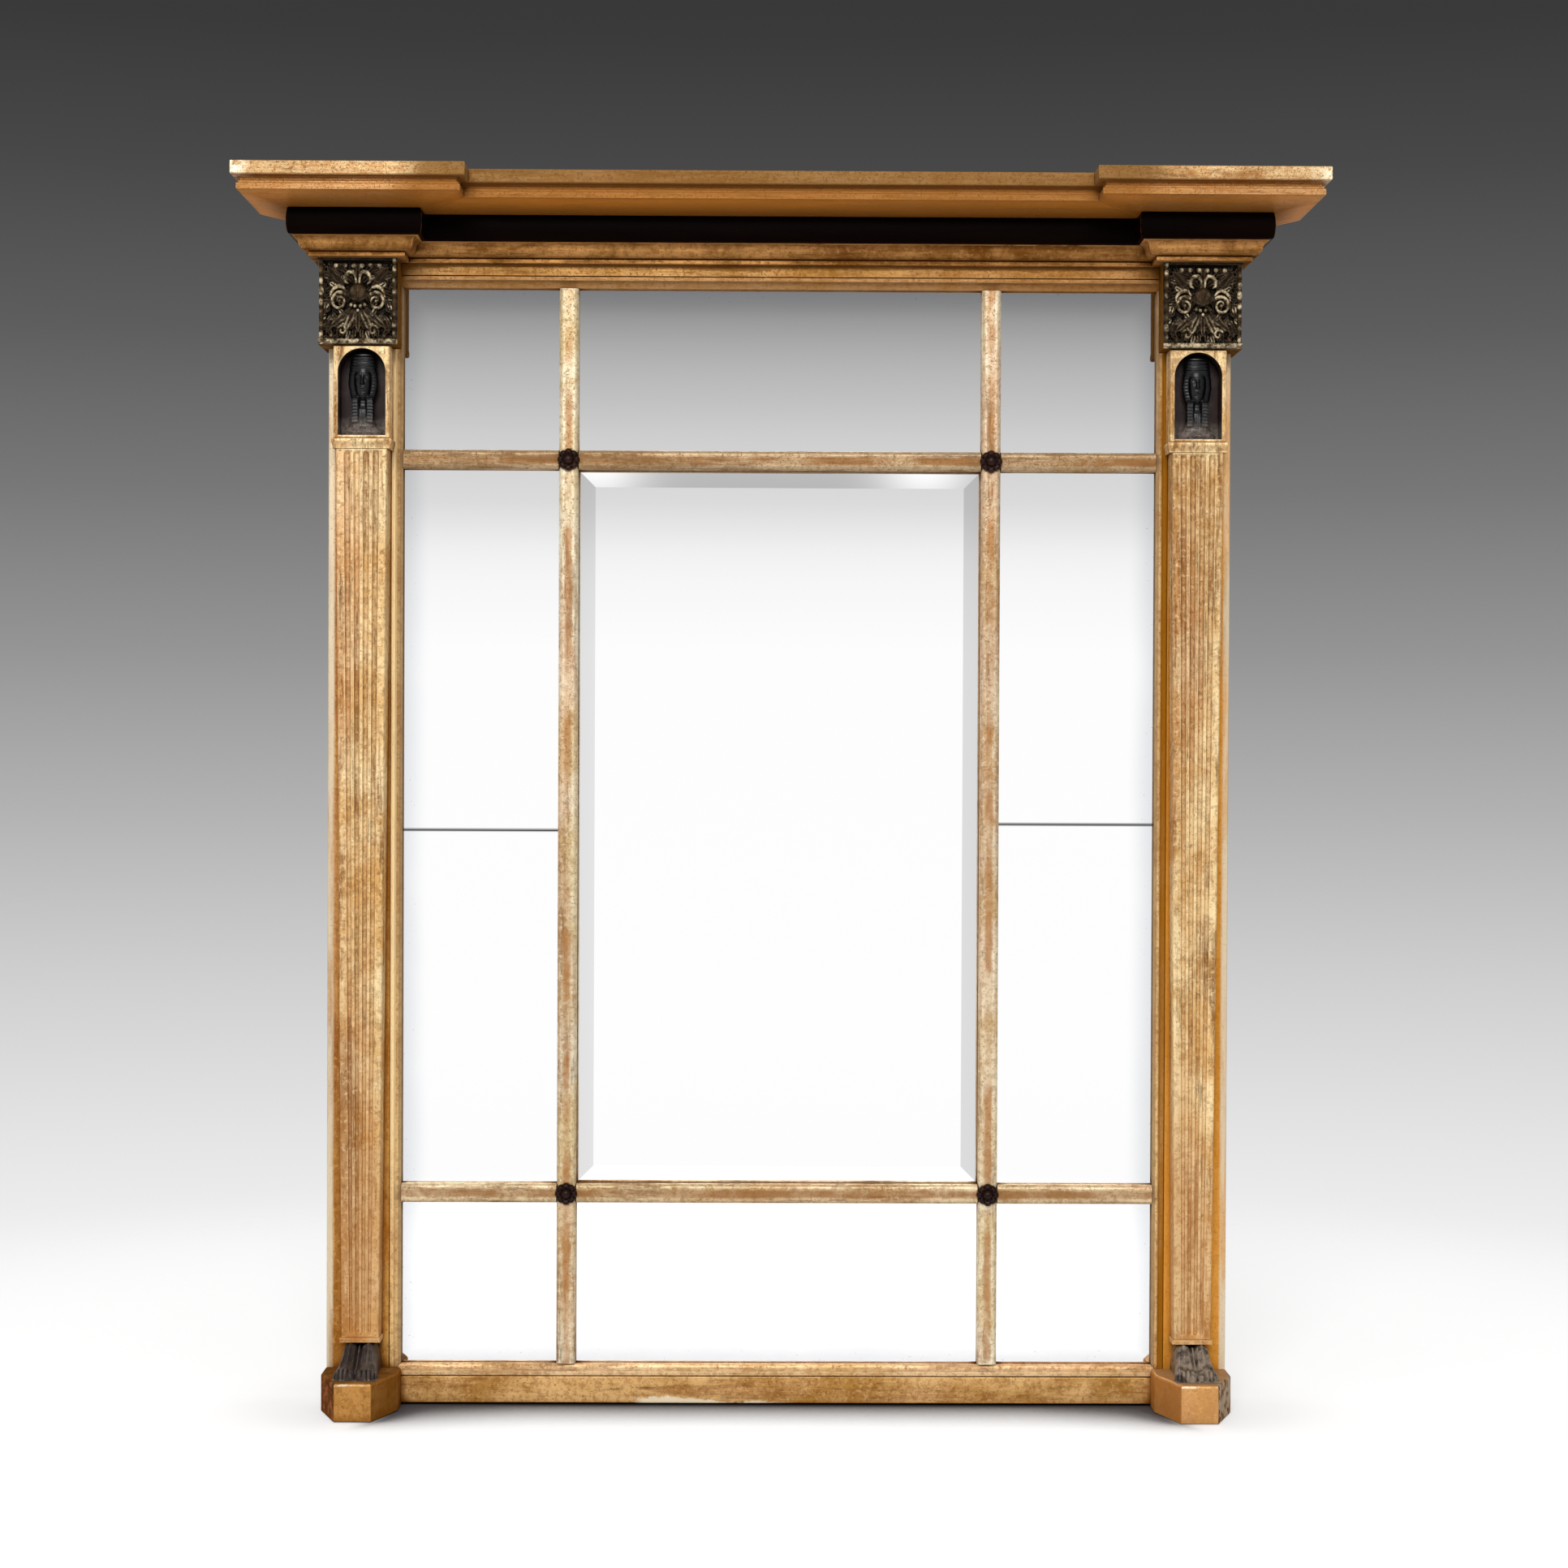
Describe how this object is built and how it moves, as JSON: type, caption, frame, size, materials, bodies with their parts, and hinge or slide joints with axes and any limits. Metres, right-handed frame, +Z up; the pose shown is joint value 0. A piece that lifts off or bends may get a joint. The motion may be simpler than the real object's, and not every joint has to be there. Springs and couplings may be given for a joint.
{
  "type": "overmantel mirror",
  "caption": "Tall giltwood and ebonised overmantel mirror with a breakfront cornice, herm pilasters on canted plinths and plates divided by astragal bars.",
  "frame": {"origin": "bottom centre of the whole mirror's box, on the surface that the plinths stand on", "axes": "+Z up; -Y towards the viewer, the way the glass faces; +X to the viewer's right"},
  "size_m": [0.95, 0.1474, 1.095],
  "materials": {
    "gilt": "worn water gilding over gesso on carved wood, satin",
    "carving": "bronzed carving with rubbed gilt highlights",
    "ebonised": "ebonised, French polished",
    "bronzed": "dark bronzed carving, satin",
    "mirror": "silvered plate glass, lightly foxed",
    "pine": "aged unfinished pine",
    "iron": "dull wrought iron"
  },
  "bodies": {
    "mirror": {"backboard_1": "pine", "backboard_2": "pine", "backboard_3": "pine", "bar_horizontal_lower": "gilt", "bar_horizontal_upper": "gilt", "bar_vertical_left": "gilt", "bar_vertical_right": "gilt", "bed_mould_centre": "gilt", "bed_mould_end_left": "gilt", "bed_mould_end_right": "gilt", "boss_lower_left": "bronzed", "boss_lower_right": "bronzed", "boss_upper_left": "bronzed", "boss_upper_right": "bronzed", "capital_left": "carving", "capital_right": "carving", "cornice_block_left": "pine", "cornice_block_right": "pine", "cornice_centre": "gilt", "cornice_end_left": "gilt", "cornice_end_right": "gilt", "dust_board": "pine", "frieze_centre": "ebonised", "frieze_end_left": "ebonised", "frieze_end_right": "ebonised", "glass_bottom_centre": "mirror", "glass_bottom_left": "mirror", "glass_bottom_right": "mirror", "glass_centre_bevelled": "mirror", "glass_left_lower": "mirror", "glass_left_upper": "mirror", "glass_right_lower": "mirror", "glass_right_upper": "mirror", "glass_top_centre": "mirror", "glass_top_left": "mirror", "glass_top_right": "mirror", "hanger_strap_left": "iron", "hanger_strap_right": "iron", "herm_bust_left": "bronzed", "herm_bust_right": "bronzed", "herm_feet_left": "bronzed", "herm_feet_right": "bronzed", "niche_block_left": "gilt", "niche_block_right": "gilt", "plinth_left": "gilt", "plinth_right": "gilt", "rail_bottom": "gilt", "rail_top": "gilt", "shaft_left": "gilt", "shaft_right": "gilt", "slip_bottom": "gilt", "slip_left": "gilt", "slip_right": "gilt", "slip_top": "gilt", "stile_left": "gilt", "stile_right": "gilt"},
    "ring_right": {"hanger_ring_right": "iron"},
    "ring_left": {"hanger_ring_left": "iron"}
  },
  "joints": [
    {"name": "ring_hinge_right", "type": "hinge", "parent": "mirror", "child": "ring_right", "pos_m": [0.371, 0.06965, 0.93], "axis": [1, 0, 0], "range_deg": [0, 180]},
    {"name": "ring_hinge_left", "type": "hinge", "parent": "mirror", "child": "ring_left", "pos_m": [-0.371, 0.06965, 0.93], "axis": [1, 0, 0], "range_deg": [0, 180]}
  ]
}
